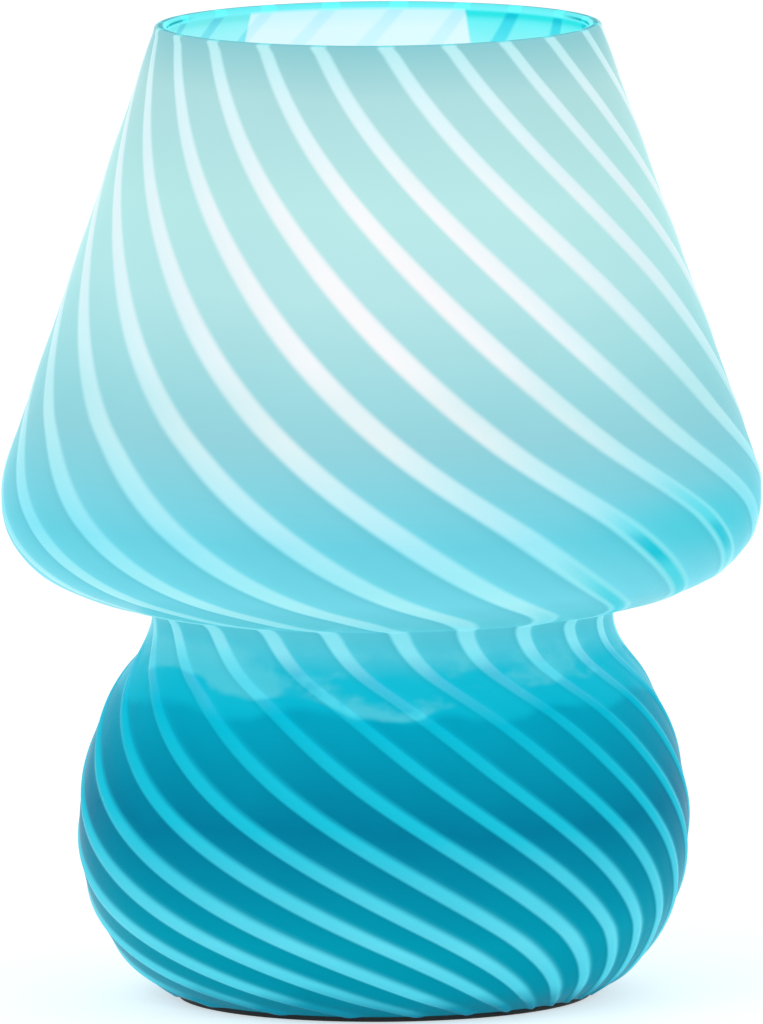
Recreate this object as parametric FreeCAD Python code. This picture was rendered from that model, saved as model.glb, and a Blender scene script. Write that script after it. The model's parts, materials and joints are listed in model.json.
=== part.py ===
import FreeCAD, Part
import math
import os

# A bedside lamp. One piece of blown, striped opal glass makes both the wide conical
# shade, open at the top, and the round base under a narrow throat. A threaded rod is
# clamped through the glass floor and carries a small screw lampholder at the height of
# the throat, with a globe bulb standing inside the shade.
# Millimetres. +Z is up, the origin is on the lamp's axis at the surface it stands on,
# and the flex would enter at the back, on the side towards +Y.

# Directions and turns
Vector = FreeCAD.Vector
ORIGIN = Vector(0, 0, 0)
UP = Vector(0, 0, 1)
DOWN = Vector(0, 0, -1)
RIGHT = Vector(1, 0, 0)
LEFT = Vector(-1, 0, 0)
FRONT = Vector(0, -1, 0)
BACK = Vector(0, 1, 0)
QUARTER_TURN = 90
FULL_TURN = 360

# Every cut runs past the face it opens by the overrun, and two sizes count as the same
# when they differ by less than the tolerance
overrun = 2.0
tolerance = 0.0001

# Glass body: the circles that its outline joins, from the top down
lamp_height = 232.5
rim_radius = 53.0
shade_radius = 90.7
shade_widest_height = 119.4
throat_radius = 55.1
throat_height = 91.2
throat_round = 2.5
base_radius = 73.1
base_widest_height = 39.8
foot_radius = 51.5
foot_land = 8.0
glass_wall = 3.0
rim_round = 0.9
# Slopes of the outline, as the angle of its outward normal above the horizontal
underside_angle = -79.5
foot_angle = -58.0
# The glass floor rises from the foot to a flat seat for the fitting
seat_radius = 25.5
seat_height = 9.0
floor_thickness = 4.0
floor_hole_radius = 12.5
# Stations of the outline: each pair is a share of the way from the circle above to the
# circle below, first in radius and then in height
flank_share = (0.9045, 0.8641)
crown_shares = [(0.680, 0.480), (0.920, 0.727)]
shoulder_shares = [(0.036, 0.280), (0.152, 0.528), (0.310, 0.703), (0.475, 0.808), (0.715, 0.921)]
waist_shares = [
    (0.111, 0.1315), (0.328, 0.238), (0.567, 0.371), (0.750, 0.5145), (0.883, 0.665), (0.967, 0.822)]
belly_shares = [(0.028, 0.185), (0.111, 0.392), (0.259, 0.585), (0.463, 0.760), (0.713, 0.8995)]
inset_steps = 24
end_lead = 0.25

# Rubber foot ring under the glass
foot_ring_height = 1.2
foot_ring_outer = 49.4
foot_ring_inner = 44.2
foot_ring_edge = 0.35

# Rubber grommet where the flex enters the back of the base
inlet_height = 28.0
inlet_hole_radius = 4.9
inlet_bore_radius = 3.6
inlet_flange_radius = 7.5
inlet_flange = 1.6
inlet_edge = 0.4

# Threaded rod and what it clamps on both sides of the glass floor
rod_radius = 5.0
rod_bore_radius = 3.6
rod_bottom = 2.2
rod_chamfer = 0.5
rod_fit = 0.05
gasket = 1.0
gasket_radius = 23.0
plate = 1.5
plate_radius = 24.5
plate_edge = 0.5
collar_height = 3.2
collar_wall = 2.0
collar_fit = 0.4
washer = 0.8
washer_radius = 9.5
washer_root_radius = 7.6
washer_teeth = 10
washer_slot = 1.6
nut_height = 3.0
nut_flats = 14.0
nut_chamfer = 0.7
nut_bevel_angle = 30.0

# Cup that hides the inner nut, and the tube that covers the rod
cup_radius = 14.0
cup_top_radius = 10.4
cup_wall = 1.2
cup_room = 0.8
cup_straight_share = 0.45
cup_edge = 0.7
cover_radius = 8.0
cover_wall = 0.8

# Lampholder cap, screwed onto the top of the rod
holder_bottom = 66.0
cap_radius = 14.0
cap_height = 18.0
cap_wall = 1.6
cap_neck_radius = 9.4
cap_neck_height = 4.0
cap_shoulder_height = 7.5
cap_boss_radius = 8.0
cap_boss_height = 8.0
cap_post_radius = 2.9
lock_screw_radius = 1.25
lock_screw_length = 4.0
lock_screw_hex = 1.3
lock_screw_socket = 1.2

# Bush in the side of the cap, where the flex goes in
entry_height = 12.5
entry_bore_radius = 3.1
entry_hole_radius = 3.9
entry_flange_radius = 5.0
entry_flange = 0.9
entry_tail = 1.9

# Insulating core with the terminals
core_height = 9.0
core_fit = 0.6
core_step = 2.5
core_step_radius = 7.6
core_screw_offset = 9.7
core_screw_radius = 1.2
core_screw_length = 12.0
core_screw_head_radius = 1.9
core_screw_head = 1.4
screw_fit = 0.15
driver_slot = 0.6
driver_depth = 0.6
terminal_offset = 6.2
terminal_width = 5.0
terminal_depth = 4.6
terminal_height = 5.2
terminal_fit = 0.2
wire_hole_radius = 1.1
wire_hole_share = 0.8
terminal_screw_radius = 1.3
terminal_screw_length = 2.4
terminal_screw_head_radius = 1.8
terminal_screw_head = 1.1

# Sprung centre contact, and the strip that feeds the threaded shell
strip = 0.4
strip_fit = 0.1
leaf_width = 3.2
leaf_leg = 4.9
leaf_bend = 2.8
leaf_rise = 1.5
leaf_reach = 1.8
leaf_gap = 0.25
feed_width = 4.0
feed_reach = 4.0

# Round screw thread of the lampholder and of the bulb's cap
thread_pitch = 2.822
thread_wobble = 0.33
cap_thread_radius = 6.54
thread_fit = 0.14
shell_wall = 0.35
shell_height = 20.5
shell_hole_radius = 5.5

# Skirt of the lampholder
skirt_top_radius = 12.6
skirt_lip = 1.6
skirt_edge = 0.8
mouth_fit = 0.35

# Bulb
bulb_seat = 94.6
bulb_length = 78.0
eyelet_radius = 2.4
eyelet_height = 1.0
eyelet_edge = 0.4
insulator_height = 3.6
insulator_top_radius = 5.6
insulator_bottom_radius = 3.0
bulb_cap_wall = 0.3
bulb_cap_hole_radius = 3.5
thread_run = 15.0
bulb_collar_radius = 6.95
bulb_collar_height = 2.8
bulb_flare_radius = 8.6
bulb_flare_height = 2.4
bulb_sleeve_height = 3.6
globe_radius = 22.5
globe_wall = 0.8
globe_join_angle = -50.0
globe_neck_fit = 0.05
globe_neck_depth = 2.8
globe_neck_rise = 1.0
stem_foot_height = 1.4
stem_flare_height = 4.0
stem_radius = 2.0
stem_fit = 0.1
filament_count = 4
filament_length = 30.0
filament_radius = 0.8
filament_lean = 9.0
filament_ring_radius = 4.2
filament_lift = 14.0
filament_wire_radius = 0.3
board_width = 8.8
board_height = 11.0
board_thickness = 1.0
chip_width = 4.0
chip_height = 3.4
chip_thickness = 1.5
chip_lift = 6.2
capacitor_radius = 1.9
capacitor_height = 5.0
capacitor_lift = 0.6

# Heights that follow from the sizes above
seat_top = seat_height + floor_thickness
lower_plate_top = seat_height - gasket
lower_washer_top = lower_plate_top - plate
lower_nut_top = lower_washer_top - washer
lower_nut_bottom = lower_nut_top - nut_height
upper_plate_bottom = seat_top + gasket
upper_plate_top = upper_plate_bottom + plate
upper_nut_bottom = upper_plate_top + washer
cup_top = upper_nut_bottom + nut_height + cup_room + cup_wall
holder_nut_bottom = holder_bottom - nut_height
rod_top = holder_bottom + cap_boss_height
cap_neck_top = holder_bottom + cap_neck_height
cap_shoulder = holder_bottom + cap_shoulder_height
core_bottom = holder_bottom + cap_height
core_top = core_bottom + core_height
core_step_bottom = core_top - core_step
terminal_top = core_bottom + terminal_height
shell_top = core_top + shell_height
skirt_top = shell_top + skirt_lip
insulator_bottom = bulb_seat + eyelet_height
thread_bottom = insulator_bottom + insulator_height
thread_top = thread_bottom + thread_run
flare_bottom = thread_top + bulb_collar_height
sleeve_bottom = flare_bottom + bulb_flare_height
sleeve_top = sleeve_bottom + bulb_sleeve_height
globe_centre = bulb_seat + bulb_length - globe_radius
globe_bottom = sleeve_top - globe_neck_depth
board_bottom = thread_bottom + bulb_cap_wall

# Radii that follow from the sizes above
rod_hole_radius = rod_radius + rod_fit
gasket_bore_radius = floor_hole_radius
cap_bore_radius = cap_radius - cap_wall
core_radius = cap_bore_radius - core_fit
terminal_face = terminal_offset + terminal_width / 2
shell_bore_radius = cap_thread_radius + thread_fit
shell_crest_radius = shell_bore_radius + shell_wall + thread_wobble
skirt_mouth_radius = bulb_collar_radius + mouth_fit
sleeve_bore_radius = bulb_flare_radius - bulb_cap_wall
globe_neck_radius = sleeve_bore_radius - globe_neck_fit


def save(name, shape):
    """Writes one piece to parts/, as its plain solids."""
    solids = shape.Solids
    whole = solids[0] if len(solids) == 1 else Part.makeCompound(solids)
    whole.exportStep("parts/" + name + ".step")
    print(name, len(solids), round(whole.Volume, 1), "mm3", "valid" if whole.isValid() else "NOT VALID")


def at(radius, height):
    """A point of a section, drawn in the XZ plane."""
    return Vector(radius, 0, height)


def slope(angle):
    """The unit vector in the XZ plane at an angle above the horizontal."""
    turn = math.radians(angle)
    return at(math.cos(turn), math.sin(turn))


def downhill(angle):
    """The way down an outline whose outward normal has that angle."""
    return slope(angle - QUARTER_TURN)


def spun(edges):
    """The solid that a closed section sweeps around the lamp's axis."""
    section = Part.Wire(Part.__sortEdges__(edges))
    return Part.Face(section).revolve(ORIGIN, UP, FULL_TURN)


def turned(corners):
    """A turned solid whose section has these (radius, height) corners."""
    points = [at(radius, height) for radius, height in corners]
    return spun([Part.makeLine(a, b) for a, b in zip(points, points[1:] + points[:1])])


def ring(outer, inner, bottom, top):
    """A plain ring around the lamp's axis."""
    return turned([(inner, bottom), (outer, bottom), (outer, top), (inner, top)])


def rod(radius, start, way, length):
    """A plain round bar from a point along a direction."""
    return Part.makeCylinder(radius, length, start, way)


def block(low, high):
    """A square-edged block between two opposite corners."""
    size = high - low
    return Part.makeBox(size.x, size.y, size.z, low)


def placed(shape, start, way):
    """A shape drawn along +Z from the origin, moved to a point and a direction."""
    shape.Placement = FreeCAD.Placement(start, FreeCAD.Rotation(UP, way))
    return shape


def turned_by(shape, angle):
    """A copy of a shape, turned about the lamp's axis."""
    copy = shape.copy()
    copy.rotate(ORIGIN, UP, angle)
    return copy


def circles(shape, radius, height):
    """The level circular edges of a shape with this radius, at this height."""
    round_edges = [edge for edge in shape.Edges if isinstance(edge.Curve, Part.Circle)]
    return [
        edge for edge in round_edges
        if abs(edge.Curve.Radius - radius) < tolerance and abs(edge.Curve.Center.z - height) < tolerance]


def rounded(shape, size, places):
    """The shape with its circles at these (radius, height) places rounded."""
    return shape.makeFillet(size, [edge for place in places for edge in circles(shape, *place)])


def bevelled(shape, size, places):
    """The shape with its circles at these (radius, height) places bevelled."""
    return shape.makeChamfer(size, [edge for place in places for edge in circles(shape, *place)])


def curve_through(points, first_way, last_way):
    """A smooth curve through points; a short lead at each end holds its direction there."""
    first_lead = points[0] + first_way / first_way.Length * end_lead
    last_lead = points[-1] - last_way / last_way.Length * end_lead
    curve = Part.BSplineCurve()
    curve.interpolate(Points=[points[0], first_lead] + points[1:-1] + [last_lead, points[-1]])
    return curve


def stations(above, below, shares):
    """Points between two circles of an outline, from shares of the way down."""
    step = below - above
    return [at(above.x + step.x * out, above.z + step.z * down) for out, down in shares]


def outward_of(way):
    """The outward normal of an outline where it runs down this way."""
    return at(-way.z, way.x)


def inset(curve, distance, first_way, last_way):
    """A curve that runs down an outline, moved inwards by a distance."""
    first, last = curve.FirstParameter, curve.LastParameter
    places = [first + (last - first) * step / inset_steps for step in range(1, inset_steps)]
    points = [curve.value(place) - outward_of(curve.tangent(place)[0]) * distance for place in places]
    start = curve.StartPoint - outward_of(first_way) * distance
    end = curve.EndPoint - outward_of(last_way) * distance
    return curve_through([start] + points + [end], first_way, last_way)


def hexagon(flats, length):
    """A six-sided bar along +Z from the origin, of this width across flats."""
    sides = 6
    corner = flats / math.sqrt(3)
    turns = [math.tau * side / sides for side in range(sides + 1)]
    outline = Part.makePolygon([Vector(math.cos(turn), math.sin(turn), 0) * corner for turn in turns])
    return Part.Face(outline).extrude(UP * length)


def nut(bottom):
    """A thin hexagon nut on the rod, with bevelled corners."""
    top = bottom + nut_height
    corner = nut_flats / math.sqrt(3) + rod_fit
    bevel = nut_chamfer * math.tan(math.radians(nut_bevel_angle))
    envelope = turned([
        (0, bottom), (corner - nut_chamfer, bottom), (corner, bottom + bevel),
        (corner, top - bevel), (corner - nut_chamfer, top), (0, top)])
    body = placed(hexagon(nut_flats, nut_height), at(0, bottom), UP).common(envelope)
    return body.cut(rod(rod_hole_radius, at(0, bottom - overrun), UP, nut_height + 2 * overrun))


def toothed_washer(bottom):
    """A lock washer with teeth around its outer edge."""
    top = bottom + washer
    gap = block(
        Vector(washer_root_radius, -washer_slot / 2, bottom - overrun),
        Vector(washer_radius + overrun, washer_slot / 2, top + overrun))
    gaps = [turned_by(gap, FULL_TURN * tooth / washer_teeth) for tooth in range(washer_teeth)]
    return ring(washer_radius, rod_hole_radius, bottom, top).cut(gaps)


def slotted_screw(radius, length, head_radius, head):
    """A cheese-head screw along +Z: its shank below the origin, its head above."""
    shank = rod(radius, ORIGIN, DOWN, length)
    slot = block(
        Vector(-head_radius - overrun, -driver_slot / 2, head - driver_depth),
        Vector(head_radius + overrun, driver_slot / 2, head + overrun))
    return shank.fuse(rod(head_radius, ORIGIN, UP, head)).cut(slot)


def round_thread(mean_radius, bottom, top):
    """A solid bar with the wavy round thread, in step with the bulb's own."""
    path = Part.makeHelix(thread_pitch, top - bottom, thread_wobble)
    path.translate(UP * bottom)
    section = Part.Wire(Part.Circle(at(thread_wobble, bottom), UP, mean_radius).toShape())
    sweep = Part.BRepOffsetAPI.MakePipeShell(Part.Wire(path.Edges))
    sweep.setTrihedronMode(ORIGIN, UP)
    sweep.add(section)
    sweep.build()
    sweep.makeSolid()
    return turned_by(sweep.shape(), FULL_TURN * (bottom - thread_bottom) / thread_pitch)


def glass_outline():
    """The outer curves of the glass, down to the foot, and the throat's centre."""
    rim = at(rim_radius, lamp_height)
    widest = at(shade_radius, shade_widest_height)
    throat = at(throat_radius, throat_height)
    throat_centre = at(throat_radius + throat_round, throat_height)
    crease = throat_centre - slope(underside_angle) * throat_round
    belly = at(base_radius, base_widest_height)
    foot = at(foot_radius, foot_ring_height)
    flank_end = stations(rim, widest, [flank_share])[0]
    crown = stations(flank_end, widest, crown_shares)
    shoulder = stations(widest, crease, shoulder_shares)
    waist = stations(throat, belly, waist_shares)
    low_belly = stations(belly, foot, belly_shares)
    flank = Part.LineSegment(rim, flank_end)
    shade = curve_through(
        [flank_end] + crown + [widest] + shoulder + [crease], flank_end - rim, downhill(underside_angle))
    base = curve_through([throat] + waist + [belly] + low_belly + [foot], DOWN, downhill(foot_angle))
    return flank, shade, base, throat_centre


def throat_arc(centre, radius):
    """The rounded crease between shade and base, about a centre outside the glass."""
    angles = (underside_angle, underside_angle / 2, 0)
    return Part.Arc(*[centre - slope(angle) * radius for angle in angles])


def inlet_axis():
    """Where the inlet's axis leaves the back of the base, and the way out along it."""
    flank, shade, base, throat_centre = glass_outline()
    level = Part.LineSegment(at(0, inlet_height), at(shade_radius, inlet_height))
    crossing = base.intersectCC(level)[0]
    point = at(crossing.X, crossing.Z)
    outward = outward_of(base.tangent(base.parameter(point))[0])
    turn = FreeCAD.Rotation(UP, QUARTER_TURN)
    return turn.multVec(point), turn.multVec(outward)


def glass_body():
    """Shade and base in one piece, with an open rim, a holed floor and the inlet hole."""
    flank, shade, base, throat_centre = glass_outline()
    lean = flank.tangent(flank.FirstParameter)[0]
    rim_in = at(rim_radius + glass_wall / lean.z, lamp_height)
    shade_in = inset(shade, glass_wall, lean, downhill(underside_angle))
    base_in = inset(base, glass_wall, DOWN, downhill(foot_angle))
    land_in = at(foot_radius - foot_land, foot_ring_height)
    seat_out, seat_in = at(seat_radius, seat_height), at(floor_hole_radius, seat_height)
    top_out, top_in = at(seat_radius, seat_top), at(floor_hole_radius, seat_top)
    floor_stations = [base_in.EndPoint, land_in + UP * floor_thickness, top_out]
    floor = curve_through(floor_stations, downhill(foot_angle), LEFT)
    curves = [
        flank, shade, throat_arc(throat_centre, throat_round), base,
        Part.LineSegment(base.EndPoint, land_in), curve_through([land_in, seat_out], LEFT, LEFT),
        Part.LineSegment(seat_out, seat_in), Part.LineSegment(seat_in, top_in),
        Part.LineSegment(top_in, top_out), floor, base_in,
        throat_arc(throat_centre, throat_round + glass_wall), shade_in,
        Part.LineSegment(shade_in.StartPoint, rim_in), Part.LineSegment(rim_in, flank.StartPoint)]
    body = spun([curve.toShape() for curve in curves])
    body = rounded(body, rim_round, [(rim_radius, lamp_height), (rim_in.x, lamp_height)])
    point, way = inlet_axis()
    return body.cut(rod(inlet_hole_radius, point + way * overrun, -way, glass_wall + 2 * overrun))


def foot_ring():
    """The rubber ring that the glass stands on."""
    body = ring(foot_ring_outer, foot_ring_inner, 0, foot_ring_height)
    return rounded(body, foot_ring_edge, [(foot_ring_outer, 0), (foot_ring_inner, 0)])


def cord_grommet(glass):
    """The inlet's rubber grommet, moulded to both faces of the glass."""
    point, way = inlet_axis()
    length = glass_wall + 2 * inlet_flange
    body = rod(inlet_flange_radius, point + way * inlet_flange, -way, length)
    body = body.makeFillet(inlet_edge, [edge for edge in body.Edges if isinstance(edge.Curve, Part.Circle)])
    bore = rod(inlet_bore_radius, point + way * (inlet_flange + overrun), -way, length + 2 * overrun)
    return body.cut([glass, bore])


def floor_plates():
    """The two plates that grip the glass floor; the upper one is centred in its hole."""
    collar = floor_hole_radius - collar_fit
    collar_bottom = upper_plate_bottom - collar_height
    upper = turned([
        (rod_hole_radius, upper_plate_bottom), (collar - collar_wall, upper_plate_bottom),
        (collar - collar_wall, collar_bottom), (collar, collar_bottom), (collar, upper_plate_bottom),
        (plate_radius, upper_plate_bottom), (plate_radius, upper_plate_top),
        (rod_hole_radius, upper_plate_top)])
    lower = ring(plate_radius, rod_hole_radius, lower_washer_top, lower_plate_top)
    return {
        "clamp_plate": rounded(upper, plate_edge, [(plate_radius, upper_plate_top)]),
        "bottom_plate": rounded(lower, plate_edge, [(plate_radius, lower_washer_top)]),
    }


def clamp_pieces():
    """What the rod clamps around the glass floor, inside the base and below it."""
    pieces = {
        "clamp_gasket": ring(gasket_radius, gasket_bore_radius, seat_top, upper_plate_bottom),
        "clamp_washer": toothed_washer(upper_plate_top),
        "clamp_nut": nut(upper_nut_bottom),
        "bottom_gasket": ring(gasket_radius, gasket_bore_radius, lower_plate_top, seat_height),
        "bottom_washer": toothed_washer(lower_nut_top),
        "bottom_nut": nut(lower_nut_bottom),
    }
    return pieces | floor_plates()


def stem_rod():
    """The hollow threaded rod from under the floor to inside the lampholder cap."""
    body = ring(rod_radius, rod_bore_radius, rod_bottom, rod_top)
    return bevelled(body, rod_chamfer, [(rod_radius, rod_bottom), (rod_radius, rod_top)])


def stem_foot():
    """The cup over the inner nut, which carries the cover tube."""
    bend = upper_plate_top + (cup_top - upper_plate_top) * cup_straight_share
    roof = cup_top - cup_wall
    body = turned([
        (cup_radius - cup_wall, upper_plate_top), (cup_radius, upper_plate_top), (cup_radius, bend),
        (cup_top_radius, cup_top), (rod_hole_radius, cup_top), (rod_hole_radius, roof),
        (cup_top_radius - cup_wall, roof), (cup_radius - cup_wall, bend)])
    return rounded(body, cup_edge, [(cup_radius, bend), (cup_top_radius, cup_top)])


def stem_cover():
    """The plain tube over the rod."""
    return ring(cover_radius, cover_radius - cover_wall, cup_top, holder_nut_bottom)


def screw_hole(side, radius):
    """The hole for a core screw, on the left or the right."""
    start = side * core_screw_offset + UP * (core_step_bottom + overrun)
    return rod(radius, start, DOWN, core_screw_length + 2 * overrun)


def entry_place(outward_by):
    """A point on the axis of the cap's side entry, at the back."""
    return BACK * (cap_radius + outward_by) + UP * (holder_bottom + entry_height)


def lock_screw_place():
    """Where the lock screw meets the rod, halfway up the cap's neck."""
    return at(rod_hole_radius, holder_bottom + cap_neck_height / 2)


def cap_cavity():
    """The room inside the lampholder cap, around its boss and its two screw posts."""
    room = turned([
        (0, rod_top), (cap_boss_radius, rod_top), (cap_boss_radius, cap_neck_top + cap_wall),
        (cap_bore_radius, cap_shoulder + cap_wall), (cap_bore_radius, core_bottom + overrun),
        (0, core_bottom + overrun)])
    posts = [
        rod(cap_post_radius, side * core_screw_offset + UP * holder_bottom, UP, cap_height + 2 * overrun)
        for side in (LEFT, RIGHT)]
    return room.cut(posts)


def holder_cap():
    """The lower half of the lampholder."""
    body = turned([
        (0, holder_bottom), (cap_neck_radius, holder_bottom), (cap_neck_radius, cap_neck_top),
        (cap_radius, cap_shoulder), (cap_radius, core_bottom), (0, core_bottom)])
    thread = rod(rod_hole_radius, at(0, holder_bottom - overrun), UP, cap_boss_height + 2 * overrun)
    entry = rod(entry_hole_radius, entry_place(overrun), FRONT, cap_wall + 2 * overrun)
    lock = rod(lock_screw_radius, lock_screw_place() + LEFT * overrun, RIGHT, cap_neck_radius)
    screws = [screw_hole(side, core_screw_radius + rod_fit) for side in (LEFT, RIGHT)]
    return body.cut([cap_cavity(), thread, entry, lock] + screws)


def cap_entry_bush(cap):
    """The soft bush in the side of the cap, moulded to both faces of its wall."""
    start = entry_place(entry_flange)
    length = entry_flange + cap_wall + entry_tail
    bore = rod(entry_bore_radius, start + BACK * overrun, FRONT, length + 2 * overrun)
    return rod(entry_flange_radius, start, FRONT, length).cut([cap, bore])


def cap_lock_screw():
    """The headless screw that stops the cap turning on the rod."""
    socket = hexagon(lock_screw_hex, lock_screw_socket + overrun)
    socket.translate(UP * (lock_screw_length - lock_screw_socket))
    body = rod(lock_screw_radius, ORIGIN, UP, lock_screw_length).cut(socket)
    return placed(body, lock_screw_place(), RIGHT)


def terminal_block(side, growth=0, deeper=0):
    """The block of one terminal, or the pocket that it fits with some growth."""
    half_across, half_along = terminal_depth / 2 + growth, terminal_width / 2 + growth
    low = Vector(-half_across, -half_along, core_bottom - deeper)
    high = Vector(half_across, half_along, terminal_top)
    return block(side * terminal_offset + low, side * terminal_offset + high)


def terminal_screw_place(side):
    """The outer face of a terminal, at its screw."""
    return side * terminal_face + UP * (core_bottom + terminal_height / 2)


def terminal_clamp(side):
    """One brass terminal with its wire hole and its screw hole."""
    wire_start = side * terminal_offset + UP * (core_bottom - overrun)
    wire = rod(wire_hole_radius, wire_start, UP, terminal_height * wire_hole_share + overrun)
    screw_start = terminal_screw_place(side) + side * overrun
    screw_depth = overrun + terminal_screw_length + screw_fit
    screw = rod(terminal_screw_radius + rod_fit, screw_start, -side, screw_depth)
    return terminal_block(side).cut([wire, screw])


def terminal_screw(side):
    """The screw that grips the wire in one terminal."""
    screw = slotted_screw(
        terminal_screw_radius, terminal_screw_length, terminal_screw_head_radius, terminal_screw_head)
    return placed(screw, terminal_screw_place(side), side)


def core_screw(side):
    """One of the two long screws that hold the core on the cap's posts."""
    screw = slotted_screw(core_screw_radius, core_screw_length, core_screw_head_radius, core_screw_head)
    return placed(screw, side * core_screw_offset + UP * core_step_bottom, UP)


def bent_strip(section, width):
    """A bent strip: its section is drawn in the XZ plane and laid front to back."""
    outline = Part.makePolygon([at(across, height) for across, height in section + section[:1]])
    body = Part.Face(outline).extrude(BACK * width)
    body.translate(FRONT * (width / 2))
    return turned_by(body, QUARTER_TURN)


def centre_contact(growth=0):
    """The sprung leaf under the bulb's eyelet, with its leg on the front terminal."""
    leaf_top = bulb_seat - leaf_gap
    return bent_strip([
        (-leaf_leg - growth, terminal_top), (-leaf_leg + strip + growth, terminal_top),
        (-leaf_leg + strip + growth, core_top), (-leaf_bend, core_top), (-leaf_rise, leaf_top - strip),
        (leaf_reach, leaf_top - strip), (leaf_reach, leaf_top), (-leaf_rise - strip / 2, leaf_top),
        (-leaf_bend - strip / 2, core_top + strip), (-leaf_leg - growth, core_top + strip),
    ], leaf_width + 2 * growth)


def shell_contact(growth=0):
    """The strip from the back terminal up to the outside of the threaded shell."""
    inside, outside = shell_crest_radius - growth, shell_crest_radius + strip + growth
    top = core_top + feed_reach
    section = [(inside, terminal_top), (outside, terminal_top), (outside, top), (inside, top)]
    return bent_strip(section, feed_width + 2 * growth)


def holder_core():
    """The insulating core: a disc on the posts, with a step that the shell stands on."""
    body = turned([
        (0, core_bottom), (core_radius, core_bottom), (core_radius, core_step_bottom),
        (core_step_radius, core_step_bottom), (core_step_radius, core_top), (0, core_top)])
    access = terminal_screw_head_radius + terminal_fit
    cuts = [centre_contact(strip_fit), shell_contact(strip_fit)]
    cuts += [screw_hole(side, core_screw_radius + screw_fit) for side in (LEFT, RIGHT)]
    cuts += [terminal_block(side, terminal_fit, overrun) for side in (FRONT, BACK)]
    cuts += [rod(access, terminal_screw_place(side), side, core_radius) for side in (FRONT, BACK)]
    return body.cut(cuts)


def thread_shell():
    """The threaded shell that takes the bulb, with a flat ring for its floor."""
    bore = round_thread(shell_bore_radius, core_top + shell_wall, shell_top + overrun)
    hole = rod(shell_hole_radius, at(0, core_top - overrun), UP, shell_wall + 2 * overrun)
    return round_thread(shell_bore_radius + shell_wall, core_top, shell_top).cut([bore, hole])


def holder_skirt():
    """The upper half of the lampholder, with a lip over the threaded shell."""
    body = turned([
        (cap_bore_radius, core_bottom), (cap_radius, core_bottom), (skirt_top_radius, skirt_top),
        (skirt_mouth_radius, skirt_top), (skirt_mouth_radius, shell_top),
        (skirt_top_radius - cap_wall, shell_top)])
    return rounded(body, skirt_edge, [(skirt_top_radius, skirt_top)])


def bulb_eyelet():
    """The contact at the tip of the bulb's cap."""
    body = rod(eyelet_radius, at(0, bulb_seat), UP, eyelet_height)
    return rounded(body, eyelet_edge, [(eyelet_radius, bulb_seat)])


def bulb_insulator():
    """The dark glass button between the eyelet and the threaded cap."""
    return turned([
        (0, insulator_bottom), (insulator_bottom_radius, insulator_bottom),
        (insulator_top_radius, thread_bottom), (0, thread_bottom)])


def bulb_cap():
    """The bulb's metal cap: thread, collar, flare and the sleeve round the glass neck."""
    wall = bulb_cap_wall
    root = cap_thread_radius - thread_wobble - 2 * wall
    bore = round_thread(cap_thread_radius - wall, thread_bottom + wall, thread_top + overrun)
    hole = rod(bulb_cap_hole_radius, at(0, thread_bottom - overrun), UP, wall + 2 * overrun)
    thread = round_thread(cap_thread_radius, thread_bottom, thread_top).cut([bore, hole])
    upper = turned([
        (root, thread_top), (bulb_collar_radius, thread_top), (bulb_collar_radius, flare_bottom),
        (bulb_flare_radius, sleeve_bottom), (bulb_flare_radius, sleeve_top),
        (sleeve_bore_radius, sleeve_top), (sleeve_bore_radius, sleeve_bottom),
        (bulb_collar_radius - wall, flare_bottom), (bulb_collar_radius - wall, thread_top + wall),
        (root, thread_top + wall)])
    return thread.fuse(upper)


def bulb_globe():
    """The hollow opal globe and its neck."""
    centre = at(0, globe_centre)
    inner_radius = globe_radius - globe_wall
    join, join_in = [centre + slope(globe_join_angle) * radius for radius in (globe_radius, inner_radius)]
    side, side_in = [centre + RIGHT * radius for radius in (globe_radius, inner_radius)]
    top, top_in = [centre + UP * radius for radius in (globe_radius, inner_radius)]
    neck_high = at(globe_neck_radius, sleeve_top + globe_neck_rise)
    neck_low = at(globe_neck_radius, globe_bottom)
    neck_low_in = at(globe_neck_radius - globe_wall, globe_bottom)
    neck = curve_through([join, neck_high], downhill(globe_join_angle), DOWN)
    neck_in = inset(neck, globe_wall, downhill(globe_join_angle), DOWN)
    curves = [
        Part.Arc(top, side, join), neck, Part.LineSegment(neck_high, neck_low),
        Part.LineSegment(neck_low, neck_low_in), Part.LineSegment(neck_low_in, neck_in.EndPoint), neck_in,
        Part.Arc(join_in, side_in, top_in), Part.LineSegment(top_in, top)]
    return spun([curve.toShape() for curve in curves])


def filament_ends(index):
    """Bottom and top of one filament, leaning outwards around the glass stem."""
    turn = FreeCAD.Rotation(UP, FULL_TURN * index / filament_count)
    bottom = at(filament_ring_radius, globe_bottom + filament_lift)
    top = bottom + slope(QUARTER_TURN - filament_lean) * filament_length
    return turn.multVec(bottom), turn.multVec(top)


def filament_stem():
    """The glass stem that stands in the bulb's neck and carries the filaments."""
    foot = globe_neck_radius - globe_wall - stem_fit
    top = filament_ends(0)[1].z + 2 * filament_radius
    return turned([
        (0, globe_bottom), (foot, globe_bottom), (foot, globe_bottom + stem_foot_height),
        (stem_radius, globe_bottom + stem_flare_height), (stem_radius, top), (0, top)])


def filament(index):
    """One light-emitting rod."""
    bottom, top = filament_ends(index)
    return rod(filament_radius, bottom, top - bottom, filament_length)


def filament_wires(index):
    """The stiff wires from the stem to just below and just above one filament."""
    clear = filament_radius * math.sin(math.radians(filament_lean)) + filament_wire_radius
    wires = []
    for end, step in zip(filament_ends(index), (-clear, clear)):
        reach = Vector(end.x, end.y, 0)
        way = reach / reach.Length
        start = way * stem_radius + UP * (end.z + step)
        wires.append(rod(filament_wire_radius, start, way, reach.Length + filament_wire_radius - stem_radius))
    return Part.makeCompound(wires)


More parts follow.
